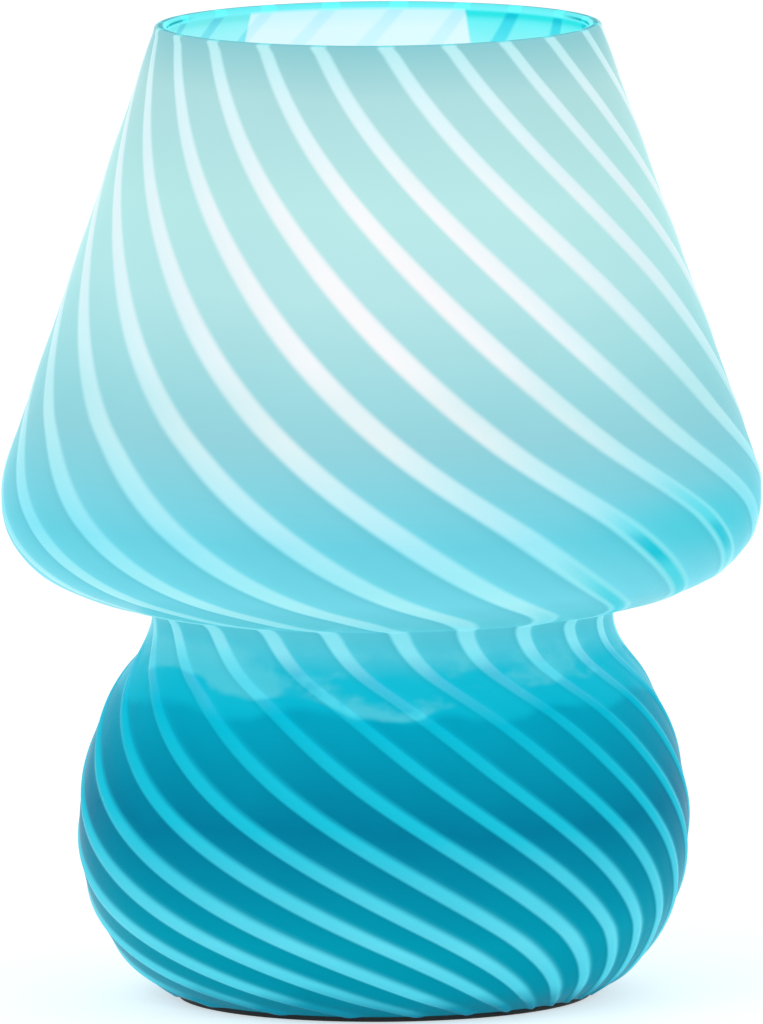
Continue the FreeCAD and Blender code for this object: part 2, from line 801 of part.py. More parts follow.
def driver_board():
    """The driver's circuit board, upright in the bulb's cap."""
    low = Vector(-board_width / 2, -board_thickness / 2, board_bottom)
    return block(low, low + Vector(board_width, board_thickness, board_height))


def driver_parts():
    """The driver's chip and capacitor, one on each face of the board."""
    corner = Vector(-chip_width / 2, board_thickness / 2, board_bottom + chip_lift)
    chip = block(corner, corner + Vector(chip_width, chip_thickness, chip_height))
    foot = FRONT * (board_thickness / 2 + capacitor_radius) + UP * (board_bottom + capacitor_lift)
    return Part.makeCompound([chip, rod(capacitor_radius, foot, UP, capacitor_height)])


def main():
    """Makes every piece and writes it out."""
    os.makedirs("parts", exist_ok=True)
    glass, cap = glass_body(), holder_cap()
    indexes = range(filament_count)
    pieces = {
        "glass_body": glass,
        "foot_ring": foot_ring(),
        "cord_grommet": cord_grommet(glass),
        "stem_rod": stem_rod(),
        "stem_foot": stem_foot(),
        "stem_cover": stem_cover(),
        "holder_nut": nut(holder_nut_bottom),
        "holder_cap": cap,
        "cap_entry_bush": cap_entry_bush(cap),
        "cap_lock_screw": cap_lock_screw(),
        "holder_core": holder_core(),
        "core_screws": Part.makeCompound([core_screw(side) for side in (LEFT, RIGHT)]),
        "terminal_clamps": Part.makeCompound([terminal_clamp(side) for side in (FRONT, BACK)]),
        "terminal_screws": Part.makeCompound([terminal_screw(side) for side in (FRONT, BACK)]),
        "centre_contact": centre_contact(),
        "shell_contact": shell_contact(),
        "thread_shell": thread_shell(),
        "holder_skirt": holder_skirt(),
        "bulb_eyelet": bulb_eyelet(),
        "bulb_insulator": bulb_insulator(),
        "bulb_cap": bulb_cap(),
        "bulb_globe": bulb_globe(),
        "filament_stem": filament_stem(),
        "filament_wires": Part.makeCompound([filament_wires(index) for index in indexes]),
        "filaments": Part.makeCompound([filament(index) for index in indexes]),
        "driver_board": driver_board(),
        "driver_parts": driver_parts(),
    }
    for name, shape in (pieces | clamp_pieces()).items():
        save(name, shape)


main()
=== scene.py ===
import json
import math

import bmesh
import bpy
import numpy as np
from mathutils import Matrix, Vector


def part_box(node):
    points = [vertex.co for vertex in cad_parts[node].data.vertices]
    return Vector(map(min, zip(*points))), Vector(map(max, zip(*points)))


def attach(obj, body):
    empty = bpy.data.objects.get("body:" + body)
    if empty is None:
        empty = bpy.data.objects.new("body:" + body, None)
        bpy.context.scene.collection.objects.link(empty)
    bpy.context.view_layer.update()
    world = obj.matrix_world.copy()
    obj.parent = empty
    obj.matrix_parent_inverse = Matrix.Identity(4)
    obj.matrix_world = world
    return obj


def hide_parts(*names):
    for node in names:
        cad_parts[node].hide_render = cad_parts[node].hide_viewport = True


# A blown, striped glass lamp, switched on. The glass is rebuilt here from the same named
# circles and stations as the solid, with its twisted ribs, and takes the solid's place;
# every other piece keeps its solid and gets a finish. Metres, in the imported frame.

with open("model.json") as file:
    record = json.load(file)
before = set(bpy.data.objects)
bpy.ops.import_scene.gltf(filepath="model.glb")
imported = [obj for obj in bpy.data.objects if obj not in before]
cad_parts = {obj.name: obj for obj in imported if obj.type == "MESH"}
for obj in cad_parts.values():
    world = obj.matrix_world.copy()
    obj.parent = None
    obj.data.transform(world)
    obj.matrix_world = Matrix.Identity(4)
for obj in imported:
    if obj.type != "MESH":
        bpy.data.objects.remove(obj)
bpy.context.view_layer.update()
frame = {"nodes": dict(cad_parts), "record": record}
MM = 0.001

# The glass outline: the circles that it joins, from the top down
LAMP_HEIGHT = 232.5 * MM
RIM_RADIUS = 53.0 * MM
SHADE_RADIUS = 90.7 * MM
SHADE_WIDEST_HEIGHT = 119.4 * MM
THROAT_RADIUS = 55.1 * MM
THROAT_HEIGHT = 91.2 * MM
THROAT_ROUND = 2.5 * MM
BASE_RADIUS = 73.1 * MM
BASE_WIDEST_HEIGHT = 39.8 * MM
FOOT_RADIUS = 51.5 * MM
FOOT_HEIGHT = 1.2 * MM
FOOT_LAND = 8.0 * MM
GLASS_WALL = 3.0 * MM
RIM_ROUND = 0.9 * MM
UNDERSIDE_ANGLE = -79.5
FOOT_ANGLE = -58.0
SEAT_RADIUS = 25.5 * MM
SEAT_HEIGHT = 9.0 * MM
FLOOR_THICKNESS = 4.0 * MM
FLOOR_HOLE_RADIUS = 12.5 * MM

# Stations of the outline: shares of the way down, in radius and in height
FLANK_SHARE = (0.9045, 0.8641)
CROWN_SHARES = ((0.680, 0.480), (0.920, 0.727))
SHOULDER_SHARES = ((0.036, 0.280), (0.152, 0.528), (0.310, 0.703), (0.475, 0.808), (0.715, 0.921))
WAIST_SHARES = (
    (0.111, 0.1315), (0.328, 0.238), (0.567, 0.371), (0.750, 0.5145), (0.883, 0.665), (0.967, 0.822))
BELLY_SHARES = ((0.028, 0.185), (0.111, 0.392), (0.259, 0.585), (0.463, 0.760), (0.713, 0.8995))
RING_STEP = 1.1 * MM
HIDDEN_STEP = 2.0 * MM
ROUND_STEPS = 6
SHARP_ANGLE = 50.0
# How far in the rounded corners of the rim count: 0 is the outside of the glass, 1 its inside
OUTER_CORNER_DEPTHS = (0.4, 0.0)
INNER_CORNER_DEPTHS = (0.95, 0.6)

# The inlet hole in the back of the base, and how far from its middle the ribs die out
INLET_HEIGHT = 28.0 * MM
INLET_HOLE_RADIUS = 4.9 * MM
INLET_DEPTH = 20.0 * MM
INLET_SIDES = 64
INLET_CALM = (10.0 * MM, 16.0 * MM)

# The twisted stripes, by the distance along the outline from the rim, in millimetres: how
# far they have turned, in degrees; how much closer together they stand at the front, and
# on the right, than on average; and half a stripe's width as a share of the pitch
STRIPES = 21
STRIPE_TURNS = (
    (0, 1.5), (10, 8), (50, 37), (100, 73), (118, 88), (136, 104), (150, 116), (161, 121.5),
    (169, 125), (184, 141), (204, 164), (224, 190), (244, 220), (264, 253), (272, 267))
FRONT_CROWDING = (
    (0, 0.05), (28, 0.03), (60, 0), (100, -0.02), (118, -0.06), (150, -0.06), (162, 0), (184, 0.11),
    (204, 0.11), (224, 0.08), (244, 0.04), (264, 0.04), (272, 0))
RIGHT_CROWDING = (
    (0, -0.02), (16, -0.05), (60, -0.05), (94, 0), (118, -0.04), (150, -0.04), (162, 0), (184, 0.09),
    (204, 0.17), (224, 0.28), (244, 0.40), (264, 0.54), (272, 0.60))
STRIPE_HALVES = (
    (0, 0.12), (24, 0.135), (72, 0.155), (150, 0.155), (188, 0.118), (212, 0.125), (236, 0.155),
    (272, 0.17))
TURN_STEP = 1.0
# How far each stripe strays from its even place, in degrees, as hand-laid glass does
STRIPE_STRAYS = (
    0.7, 0.7, 0.3, -1.2, 0, -0.4, 0.3, 0, 0.8, -0.6, -0.6, 0, 0.6, -0.3, 0.2, 0.2, -0.2, 0, -0.2,
    0.4, -0.8)
# The columns across one stripe, in halves of a stripe from its middle, and across the field
# beside it, as shares of the field
STRIPE_PLACES = (-1.30, -1.12, -0.92, -0.70, -0.35, 0.0, 0.35, 0.70, 0.92, 1.12, 1.30)
FIELD_PLACES = (0.12, 0.26, 0.42, 0.58, 0.74, 0.88)

# Across a stripe, in halves of a stripe from its middle: its strength rises over the lower
# left edge and falls over the upper right one, more softly on the base; its border stays pale
# in a pool of colour; and its rib swells as far as the spread. The ribs are shallower on the
# shade than on the base, and change between these heights
STRIPE_RISE = (-1.30, -0.70)
STRIPE_FALL = (0.70, 1.30)
BASE_SOFTNESS = 0.75
STRIPE_BORDER = (0.45, 0.85)
RIB_SPREAD = 1.5
SHADE_RIB = 0.22 * MM
BASE_RIB = 0.50 * MM
RIB_HEIGHTS = (0.075, 0.100)
# The painted light and shade on a rib and the field beside it, where the ribs are deep: the place,
# then the level
RIB_LIGHT = (
    (-2.6, 0.98), (-1.9, 0.95), (-1.25, 0.87), (-0.95, 1.05), (-0.4, 1.01), (0.6, 1.00),
    (1.1, 1.04), (1.6, 1.02), (2.6, 0.98))

# The camera: nearly parallel, a little above the lamp, and turned by the lean of the picture
PICTURE_HEIGHT = 1024
PIXELS_PER_METRE = 4200.0
CAMERA_DISTANCE = 6.0
CAMERA_ELEVATION = 7.0
CAMERA_ROLL = 0.42
CAMERA_TARGET = (0.0, 0.0, 0.1156)
CAMERA_CLIP = (0.1, 100.0)
SENSOR = 36.0


def slope(angle):
    """The unit vector of a section at an angle above the horizontal."""
    turn = math.radians(angle)
    return np.array((math.cos(turn), math.sin(turn)))


def downhill(angle):
    """The way down an outline whose outward normal has that angle."""
    return slope(angle - 90.0)


def outward(ways):
    """The outward normals of an outline that runs down these ways."""
    return np.stack((-ways[:, 1], ways[:, 0]), 1)


def stations(above, below, shares):
    """Points between two circles of the outline, from shares of the way down."""
    return [above + (below - above) * np.array(share) for share in shares]


def smooth_run(points, first_way, last_way, step):
    """Points and ways at even steps along a smooth curve with set end directions."""
    points = np.array(points)
    gaps = np.linalg.norm(np.diff(points, axis=0), axis=1)
    knots = np.concatenate(([0.0], np.cumsum(gaps)))
    count = len(points)
    system, right = np.zeros((count, count)), np.zeros((count, 2))
    system[0, 0] = system[-1, -1] = 1.0
    right[0], right[-1] = first_way, last_way
    for i in range(1, count - 1):
        before, after = gaps[i - 1], gaps[i]
        system[i, i - 1:i + 2] = 1 / before, 2 / before + 2 / after, 1 / after
        back, ahead = points[i] - points[i - 1], points[i + 1] - points[i]
        right[i] = 3 * (back / before ** 2 + ahead / after ** 2)
    speeds = np.linalg.solve(system, right)
    places = np.linspace(0, knots[-1], max(3, math.ceil(knots[-1] / step) + 1))
    spans = np.clip(np.searchsorted(knots, places, side="right") - 1, 0, count - 2)
    width = gaps[spans][:, None]
    t = ((places - knots[spans]) / gaps[spans])[:, None]
    p, q, a, b = points[spans], points[spans + 1], speeds[spans] * width, speeds[spans + 1] * width
    run = (
        (2 * t**3 - 3 * t**2 + 1) * p + (t**3 - 2 * t**2 + t) * a
        + (3 * t**2 - 2 * t**3) * q + (t**3 - t**2) * b)
    ways = (6 * t**2 - 6 * t) * (p - q) + (3 * t**2 - 4 * t + 1) * a + (3 * t**2 - 2 * t) * b
    return run, ways / np.linalg.norm(ways, axis=1)[:, None]


def straight_run(start, end, step):
    """Points and ways at even steps along a straight line."""
    length = np.linalg.norm(end - start)
    shares = np.linspace(0, 1, max(2, math.ceil(length / step) + 1))[:, None]
    way = (end - start) / length
    return start + (end - start) * shares, np.repeat(way[None], len(shares), 0)


def corner_round(corner, way_in, way_out, radius):
    """Points of the arc that rounds a corner between two ways."""
    turn = math.acos(np.clip(np.dot(way_in, way_out), -1, 1))
    side = math.copysign(1, way_in[0] * way_out[1] - way_in[1] * way_out[0])
    start = corner - way_in * radius * math.tan(turn / 2)
    across = np.array((-way_in[1], way_in[0])) * side
    angles = np.linspace(0, turn, ROUND_STEPS + 1)[:, None]
    return start + across * radius * (1 - np.cos(angles)) + way_in * radius * np.sin(angles)


def outside_outline():
    """The outside of the glass from the rim down to the foot: points, and the ways down it."""
    rim = np.array((RIM_RADIUS, LAMP_HEIGHT))
    widest = np.array((SHADE_RADIUS, SHADE_WIDEST_HEIGHT))
    throat = np.array((THROAT_RADIUS, THROAT_HEIGHT))
    throat_centre = throat + (THROAT_ROUND, 0)
    crease = throat_centre - slope(UNDERSIDE_ANGLE) * THROAT_ROUND
    belly = np.array((BASE_RADIUS, BASE_WIDEST_HEIGHT))
    foot = np.array((FOOT_RADIUS, FOOT_HEIGHT))
    flank_end = stations(rim, widest, [FLANK_SHARE])[0]
    shade_points = [flank_end] + stations(flank_end, widest, CROWN_SHARES) + [widest]
    shade_points += stations(widest, crease, SHOULDER_SHARES) + [crease]
    base_points = [throat] + stations(throat, belly, WAIST_SHARES) + [belly]
    base_points += stations(belly, foot, BELLY_SHARES) + [foot]
    arc_angles = np.linspace(UNDERSIDE_ANGLE, 0, 2 * ROUND_STEPS + 1)[1:-1]
    arc = np.array([throat_centre - slope(angle) * THROAT_ROUND for angle in arc_angles])
    arc_ways = np.array([downhill(angle) for angle in arc_angles])
    flank, flank_ways = straight_run(rim, flank_end, RING_STEP)
    shade, shade_ways = smooth_run(shade_points, flank_ways[0], downhill(UNDERSIDE_ANGLE), RING_STEP)
    base, base_ways = smooth_run(base_points, np.array((0.0, -1.0)), downhill(FOOT_ANGLE), RING_STEP)
    points = np.concatenate((flank, shade[1:], arc, base))
    return points, np.concatenate((flank_ways, shade_ways[1:], arc_ways, base_ways))


def glass_section():
    """The closed section of the glass: points, and for each its distance along the outline,
    its rib's share and how far in it is, from 0 on the outside to 1 on the inside."""
    outer, ways = outside_outline()
    rim, lean = outer[0], ways[0]
    steps = np.linalg.norm(np.diff(outer, axis=0), axis=1)
    along = np.concatenate(([0.0], np.cumsum(steps)))
    inner = outer - outward(ways) * GLASS_WALL

    # The rim: both corners rounded, with the flat of the ground edge between them
    rim_in = rim + (GLASS_WALL / lean[1], 0)
    level = np.array((1.0, 0.0))
    outer_round = corner_round(rim, level, lean, RIM_ROUND)
    inner_round = corner_round(rim_in, -lean, level, RIM_ROUND)
    below = outer[:, 1] < outer_round[-1][1] - RING_STEP / 2
    below_in = inner[:, 1] < inner_round[0][1] - RING_STEP / 2
    outer, along_out = outer[below], along[below]
    inner, along_in = inner[below_in], along[below_in]

    # Under the foot and over the floor
    left = np.array((-1.0, 0.0))
    rise = np.array((0.0, FLOOR_THICKNESS))
    foot = np.array((FOOT_RADIUS, FOOT_HEIGHT))
    land_in = foot - (FOOT_LAND, 0)
    seat_out = np.array((SEAT_RADIUS, SEAT_HEIGHT))
    seat_in = np.array((FLOOR_HOLE_RADIUS, SEAT_HEIGHT))
    under = (
        straight_run(foot, land_in, HIDDEN_STEP)[0][1:],
        smooth_run([land_in, seat_out], left, left, HIDDEN_STEP)[0][1:],
        straight_run(seat_out, seat_in, HIDDEN_STEP)[0][1:],
        straight_run(seat_in, seat_in + rise, HIDDEN_STEP)[0][1:])
    over_points = [inner[-1], land_in + rise, seat_out + rise]
    over = np.concatenate((
        smooth_run(over_points, downhill(FOOT_ANGLE), left, HIDDEN_STEP)[0],
        straight_run(seat_out + rise, seat_in + rise, HIDDEN_STEP)[0][1:]))

    # Round the section: the points, their distance along, the rib's share and how far in
    parts = (
        (inner_round, 0.0, 0.0, np.linspace(*INNER_CORNER_DEPTHS, len(inner_round))),
        (outer_round, 0.0, 0.0, np.linspace(*OUTER_CORNER_DEPTHS, len(outer_round))),
        (outer, along_out, 1.0, 0.0),
        (np.concatenate(under), along[-1], 0.0, 0.0),
        (over[::-1][1:-1], along[-1], 0.0, 1.0),
        (inner[::-1], along_in[::-1], 0.0, 1.0))
    points = np.concatenate([part[0] for part in parts])
    values = [
        np.concatenate([np.broadcast_to(part[i], len(part[0])) for part in parts]) for i in (1, 2, 3)]
    return points, *values


def smooth_step(start, end, value):
    """0 up to the start, 1 from the end on and a smooth rise between."""
    share = np.clip((value - start) / (end - start), 0, 1)
    return share * share * (3 - 2 * share)


def inlet_axis():
    """A point on the inlet's axis in the back of the base, and the way out along it."""
    points, _, ribs, _ = glass_section()
    outside = np.where(ribs > 0)[0]
    near = outside[np.argmin(np.abs(points[outside, 1] - INLET_HEIGHT))]
    way = points[near + 1] - points[near - 1]
    normal = outward((way / np.linalg.norm(way))[None])[0]
    return Vector((0, points[near, 0], points[near, 1])), Vector((0, normal[0], normal[1]))


def stripe_columns(along):
    """The columns of each row of the glass: how far each is from the middle of its stripe, in
    halves of a stripe, and how far it is turned from the front."""
    turns = np.array(STRIPE_TURNS)
    steepness = [way / np.linalg.norm(way) for way in (turns[1] - turns[0], turns[-1] - turns[-2])]
    curve = smooth_run(turns, *steepness, TURN_STEP)[0]
    tables = (curve, FRONT_CROWDING, RIGHT_CROWDING, STRIPE_HALVES)
    turn, at_front, at_right, half = [
        np.interp(along / MM, *np.array(table).T)[:, None] for table in tables]
    reach = STRIPE_PLACES[-1]
    across = np.array(STRIPE_PLACES)[None] * half
    beside = reach * half + (1 - 2 * reach * half) * np.array(FIELD_PLACES)[None]
    local = np.concatenate((across, beside), 1)
    phase = (local[:, None, :] + np.arange(STRIPES)[None, :, None]).reshape(len(along), -1)
    stray = np.interp(phase, np.arange(STRIPES), STRIPE_STRAYS, period=STRIPES)
    theta = np.radians(turn + stray) + phase * math.tau / STRIPES
    azimuth = theta - at_front * np.sin(theta) + at_right * (np.cos(theta) - 1)
    place = np.where(local > 0.5, local - 1, local) / half
    return np.tile(place, STRIPES), azimuth


def wrapped_faces(rows, columns):
    """The corners of each face of a skin that closes on itself both ways."""
    row, column = np.arange(rows)[:, None], np.arange(columns)[None]
    next_row, next_column = (row + 1) % rows, (column + 1) % columns
    corners = ((row, column), (next_row, column), (next_row, next_column), (row, next_column))
    return np.stack([(down * columns + across).ravel() for down, across in corners], 1)


def skin(name, points, faces, values):
    """A mesh that carries a value of each name at its points."""
    mesh = bpy.data.meshes.new(name)
    mesh.vertices.add(len(points))
    mesh.vertices.foreach_set("co", points.ravel())
    mesh.loops.add(faces.size)
    mesh.loops.foreach_set("vertex_index", faces.ravel())
    mesh.polygons.add(len(faces))
    mesh.polygons.foreach_set("loop_start", np.arange(0, faces.size, faces.shape[1]))
    for value_name, value in values.items():
        mesh.attributes.new(value_name, "FLOAT", "POINT").data.foreach_set("value", value.ravel())
    mesh.update(calc_edges=True)
    mesh.validate()
    return mesh


def linked(name, data):
    """A new object of the scene for a mesh, a lamp or a camera."""
    piece = bpy.data.objects.new(name, data)
    bpy.context.scene.collection.objects.link(piece)
    return piece


def glass_vessel():
    """The glass as one mesh whose columns follow the twisted stripes."""
    points, along, ribs, depth = glass_section()
    place, azimuth = stripe_columns(along)
    radius, height = points[:, :1], points[:, 1:]
    soft = smooth_step(THROAT_HEIGHT, BASE_WIDEST_HEIGHT, height)
    fall = smooth_step(STRIPE_FALL[0], STRIPE_FALL[1] + BASE_SOFTNESS * soft, place)
    values = {
        "stripe": smooth_step(*STRIPE_RISE, place) * (1 - fall),
        "inside": np.repeat(depth[:, None], place.shape[1], 1),
        "border": smooth_step(*STRIPE_BORDER, np.abs(place)),
        "light": np.interp(place, *np.array(RIB_LIGHT).T)}

    # Ribs stand up to the solid's own surface, and the field between them lies lower
    swell = 0.5 + 0.5 * np.cos(np.clip(place / RIB_SPREAD, -1, 1) * math.pi)
    rib = BASE_RIB + (SHADE_RIB - BASE_RIB) * smooth_step(*RIB_HEIGHTS, height)
    ways = np.roll(points, -1, 0) - np.roll(points, 1, 0)
    normals = outward(ways / np.linalg.norm(ways, axis=1)[:, None])
    inlet = inlet_axis()[0]
    x, y = radius * np.sin(azimuth), -radius * np.cos(azimuth)
    gap = np.sqrt(x ** 2 + (y - inlet.y) ** 2 + (height - inlet.z) ** 2)
    sink = rib * (1 - swell) * ribs[:, None] * smooth_step(*INLET_CALM, gap)
    radius = radius - sink * normals[:, :1]
    height = height - sink * normals[:, 1:]
    sunk = np.stack((radius * np.sin(azimuth), -radius * np.cos(azimuth), height), -1).reshape(-1, 3)
    mesh = skin("striped_vessel", sunk, wrapped_faces(*place.shape), values)
    return linked("striped_vessel", mesh)


def drill_inlet(vessel):
    """Cuts the flex's inlet through the back wall of the glass."""
    centre, way = inlet_axis()
    along_axis = Matrix.Translation(centre) @ way.to_track_quat("Z", "X").to_matrix().to_4x4()
    cutter_mesh = bpy.data.meshes.new("inlet_drill")
    drill = bmesh.new()
    bmesh.ops.create_cone(
        drill, cap_ends=True, segments=INLET_SIDES, radius1=INLET_HOLE_RADIUS,
        radius2=INLET_HOLE_RADIUS, depth=INLET_DEPTH, matrix=along_axis)
    drill.to_mesh(cutter_mesh)
    drill.free()
    cutter = linked("inlet_drill", cutter_mesh)
    cut = vessel.modifiers.new("inlet", "BOOLEAN")
    cut.operation, cut.solver, cut.object = "DIFFERENCE", "MANIFOLD", cutter
    settled = vessel.evaluated_get(bpy.context.evaluated_depsgraph_get())
    holed = bpy.data.meshes.new_from_object(settled)
    vessel.modifiers.clear()
    vessel.data = holed
    bpy.data.objects.remove(cutter)


def srgb(red, green, blue):
    """A colour as it looks on a screen, in the shader's own linear numbers."""
    shares = [c / 12.92 if c <= 0.04045 else ((c + 0.055) / 1.055) ** 2.4 for c in (red, green, blue)]
    return (*shares, 1.0)


def grey(level):
    """A plain level as a colour."""
    return (level, level, level, 1.0)


# Where a Mix node of colours takes its share and its two colours, and where it gives the result
MIX_INPUTS = (0, 6, 7)
MIX_OUTPUT = 2


class Shading:
    """The nodes of a material or of the surround, with short ways to make and join them."""

    def __init__(self, name, kind="materials", shader="Principled BSDF"):
        self.block = getattr(bpy.data, kind).new(name)
        self.block.use_nodes = True
        tree = self.block.node_tree
        self.nodes, self.links = tree.nodes, tree.links
        self.shader = tree.nodes[shader]

    def make(self, kind, settings=None, **inputs):
        """A new node; settings are its own properties, and inputs are values or sockets."""
        node = self.nodes.new("ShaderNode" + kind)
        for name, value in (settings or {}).items():
            setattr(node, name, value)
        for name, value in inputs.items():
            self.join(value, node.inputs[name.replace("_", " ")])
        return node

    def join(self, value, socket):
        """Gives a socket a value, or a link from another socket."""
        if isinstance(value, bpy.types.NodeSocket):
            self.links.new(value, socket)
        else:
            socket.default_value = value

    def feed(self, name, value):
        """Gives an input of the shader a value, or a link from a socket."""
        self.join(value, self.shader.inputs[name])

    def ramp(self, share, stops):
        """The colours of a ramp over a share from 0 to 1."""
        node = self.make("ValToRGB", Fac=share)
        elements = node.color_ramp.elements
        for place, colour in stops[1:-1]:
            elements.new(place).color = colour
        for i, (place, colour) in enumerate(stops):
            elements[i].position, elements[i].color = place, colour
        return node.outputs["Color"]

    def levels(self, share, stops):
        """The plain levels of a ramp over a share from 0 to 1."""
        return self.ramp(share, [(place, grey(level)) for place, level in stops])

    def mix(self, share, first, second, blend="MIX"):
        """One colour over another by a share."""
        node = self.make("Mix", {"data_type": "RGBA", "blend_type": blend})
        for value, i in zip((share, first, second), MIX_INPUTS):
            self.join(value, node.inputs[i])
        return node.outputs[MIX_OUTPUT]

    def attribute(self, name):
        """A value that the mesh carries."""
        return self.make("Attribute", {"attribute_name": name}).outputs["Fac"]

    def place(self):
        """The place on the object, in metres."""
        return self.make("TexCoord").outputs["Object"]

    def noise(self, scale, detail=2.0, stretch=(1.0, 1.0, 1.0)):
        """Noise fixed to the object, from about 0 to 1."""
        stretched = self.vectors("MULTIPLY", self.place(), stretch)["Vector"]
        return self.make("TexNoise", Vector=stretched, Scale=scale, Detail=detail).outputs["Fac"]

    def spread(self, share, low, high):
        """A share from 0 to 1 spread between two numbers."""
        return self.make("MapRange", Value=share, To_Min=low, To_Max=high).outputs["Result"]

    def share(self, value, low, high):
        """How far a value has gone from one number to another, from 0 to 1."""
        return self.make("MapRange", Value=value, From_Min=low, From_Max=high).outputs["Result"]

    def rise(self, value, start, end):
        """A smooth rise from 0 to 1 as a value goes from one number to another."""
        settings = {"interpolation_type": "SMOOTHSTEP"}
        node = self.make("MapRange", settings, Value=value, From_Min=start, From_Max=end)
        return node.outputs["Result"]

    def sum(self, operation, *values):
        """The result of a sum of numbers or sockets."""
        node = self.make("Math", {"operation": operation})
        for value, socket in zip(values, node.inputs):
            self.join(value, socket)
        return node.outputs[0]

    def vectors(self, operation, *values):
        """The outputs of a sum of vectors or sockets."""
        node = self.make("VectorMath", {"operation": operation})
        for value, socket in zip(values, node.inputs):
            self.join(value, socket)
        return node.outputs

    def scaled(self, colour, level):
        """A colour made brighter or dimmer."""
        node = self.make("VectorMath", {"operation": "SCALE"}, Scale=level)
        self.join(colour, node.inputs[0])
        return node.outputs[0]

    def relief(self, height, distance):
        """Bumps of a height field on the surface."""
        self.feed("Normal", self.make("Bump", Height=height, Distance=distance).outputs["Normal"])


# What the lit glass looks like by height, in metres: the field, then the stripes. Its darkening at
# the very foot is painted shade where it meets the floor, and its brighter band from 0.0735 up to
# the throat is the painted reflection and light of the shade on the base's shoulder
LOOKS = (
    (0.0030, (0.00, 0.58, 0.68), (0.10, 0.71, 0.80)),
    (0.0080, (0.00, 0.62, 0.72), (0.32, 0.89, 0.97)),
    (0.0200, (0.00, 0.64, 0.74), (0.38, 0.90, 0.98)),
    (0.0480, (0.00, 0.51, 0.64), (0.12, 0.79, 0.89)),
    (0.0735, (0.00, 0.65, 0.76), (0.04, 0.75, 0.85)),
    (0.0755, (0.04, 0.73, 0.83), (0.12, 0.76, 0.86)),
    (0.0830, (0.09, 0.76, 0.85), (0.30, 0.80, 0.89)),
    (0.0885, (0.30, 0.80, 0.88), (0.54, 0.93, 0.98)),
    (0.0950, (0.36, 0.80, 0.86), (0.52, 0.93, 0.97)),
    (0.1030, (0.46, 0.88, 0.95), (0.69, 1.00, 1.03)),
    (0.1180, (0.43, 0.84, 0.91), (0.67, 0.95, 1.00)),
    (0.1420, (0.59, 0.84, 0.88), (0.91, 0.97, 0.98)),
    (0.1510, (0.62, 0.86, 0.89), (0.92, 0.97, 0.98)),
    (0.1600, (0.66, 0.88, 0.90), (0.99, 0.99, 1.00)),
    (0.1750, (0.72, 0.91, 0.92), (1.00, 0.99, 1.00)),
    (0.1950, (0.73, 0.92, 0.92), (0.98, 0.99, 1.00)),
    (0.2200, (0.69, 0.88, 0.89), (0.86, 0.98, 1.00)),
    (0.2325, (0.55, 0.81, 0.84), (0.72, 0.95, 0.97)),
)
INNER_LOOKS = (
    (0.0100, (0.12, 0.60, 0.68), (0.30, 0.75, 0.82)),
    (0.0600, (0.25, 0.75, 0.83), (0.35, 0.82, 0.88)),
    (0.1100, (0.60, 0.93, 0.96), (0.75, 0.97, 0.98)),
    (0.1700, (0.90, 0.98, 0.98), (0.92, 0.98, 0.98)),
    (0.2220, (0.58, 0.95, 0.95), (0.38, 0.87, 0.90)),
    (0.2285, (0.42, 0.94, 0.94), (0.24, 0.82, 0.86)),
    (0.2300, (0.12, 0.88, 0.87), (0.06, 0.73, 0.78)),
    (0.2307, (0.16, 0.89, 0.88), (0.08, 0.75, 0.80)),
    (0.2313, (0.44, 0.95, 0.96), (0.32, 0.88, 0.91)),
)
# The inside of the back wall, which painted light of the bulb washes almost white near the rim:
# its look, the way from the axis to its middle, and the cosine at which the wash ends. The
# inside on the left has a little of the painted wash, from where it faces sideways
WASHED_LOOKS = (
    *INNER_LOOKS[:4],
    (0.2180, (0.87, 0.97, 0.98), (0.82, 0.94, 0.95)),
    (0.2260, (0.87, 0.97, 0.98), (0.80, 0.93, 0.95)),
    (0.2310, (0.79, 0.96, 0.97), (0.72, 0.91, 0.94)),
)
WASHED_WAY = (-0.11, 0.99, 0.0)
WASHED_EDGE = (0.85, 0.86)
LEFT_EDGE = (-0.2, -0.5)
LEFT_WASH = 0.25

# The glass's own colours, and how much of a look its own colour gives under the lamps
FIELD_GLASS = (0.02, 0.55, 0.66)
STRIPE_GLASS = (0.06, 0.78, 0.86)
LIT_SHARE = 0.70

# The ground edge of the glass, by how far in: its look from the outer corner over the flat to
# the inner corner, how much of it shows, and the dark line of its inner corner, at the sides
RIM_LOOKS = (
    (0.10, (0.54, 0.80, 0.84)), (0.38, (0.46, 0.79, 0.82)), (0.46, (0.10, 0.64, 0.70)),
    (0.56, (0.12, 0.68, 0.73)), (0.62, (0.38, 0.93, 0.95)), (0.95, (0.46, 0.95, 0.96)))
RIM_COVER = ((0.0, 0.0), (0.10, 0.0), (0.30, 1.0), (0.94, 1.0), (1.0, 0.0))
CORNER_LINE = (0.00, 0.68, 0.71)
CORNER_COVER = ((0.0, 0.0), (0.80, 0.0), (0.86, 1.0), (0.93, 1.0), (0.97, 0.0))
CORNER_SIDES = (0.86, 0.96)

# At a glancing angle the thicker glass tints its light: the field's and the stripes' tint, with
# the power that keeps it to the edge, and how strong it is by height
GLANCE_TINTS = (((0.80, 0.97, 0.99), 1.0), ((0.55, 0.90, 0.97), 4.0))
GLANCE_SHARES = (
    (0.1000, 0.0), (0.1180, 1.0), (0.1600, 0.9), (0.1850, 0.6), (0.2050, 0.4), (0.2220, 0.0))

